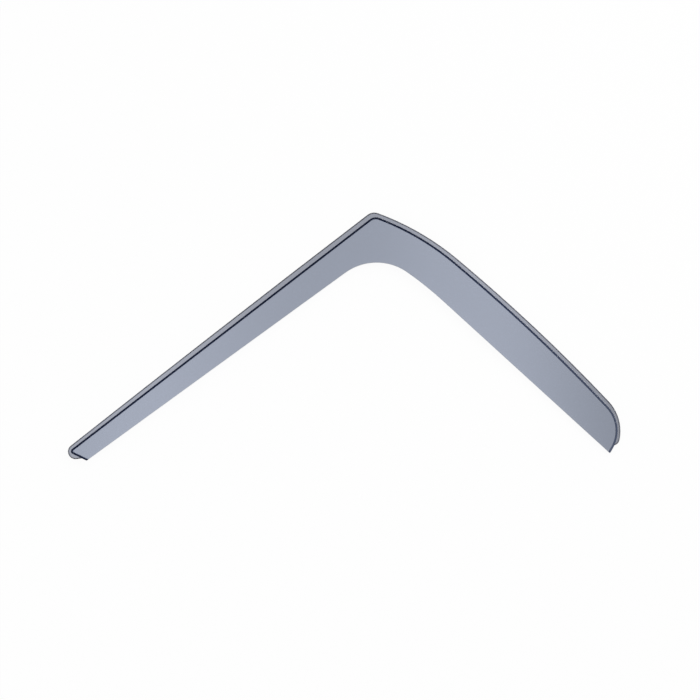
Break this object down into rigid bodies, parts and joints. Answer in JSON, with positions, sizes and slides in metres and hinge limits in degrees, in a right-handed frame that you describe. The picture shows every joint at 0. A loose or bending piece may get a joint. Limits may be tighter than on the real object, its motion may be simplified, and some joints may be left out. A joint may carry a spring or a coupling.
{
  "type": "window rain deflector",
  "caption": "Smoked acrylic window rain deflector bent in a wide V: a thin flange for the glass channel, a step along the outer edge that gets lower towards the wide end, and a flat blade with a free inner edge.",
  "frame": {"origin": "on the flange's seating face, at the corner where the step's pillar run and roof run would meet if it were not rounded", "axes": "+X along the longest extent, towards the wide end; +Y up the window, away from the opening of the V; +Z out of the window, from the seating face to the blade's outer face"},
  "size_m": [0.9135, 0.4096, 0.016],
  "materials": {
    "smoked_acrylic": "gloss, see-through, tinted blue-grey"
  },
  "bodies": {
    "root": {"deflector": "smoked_acrylic"}
  },
  "joints": []
}
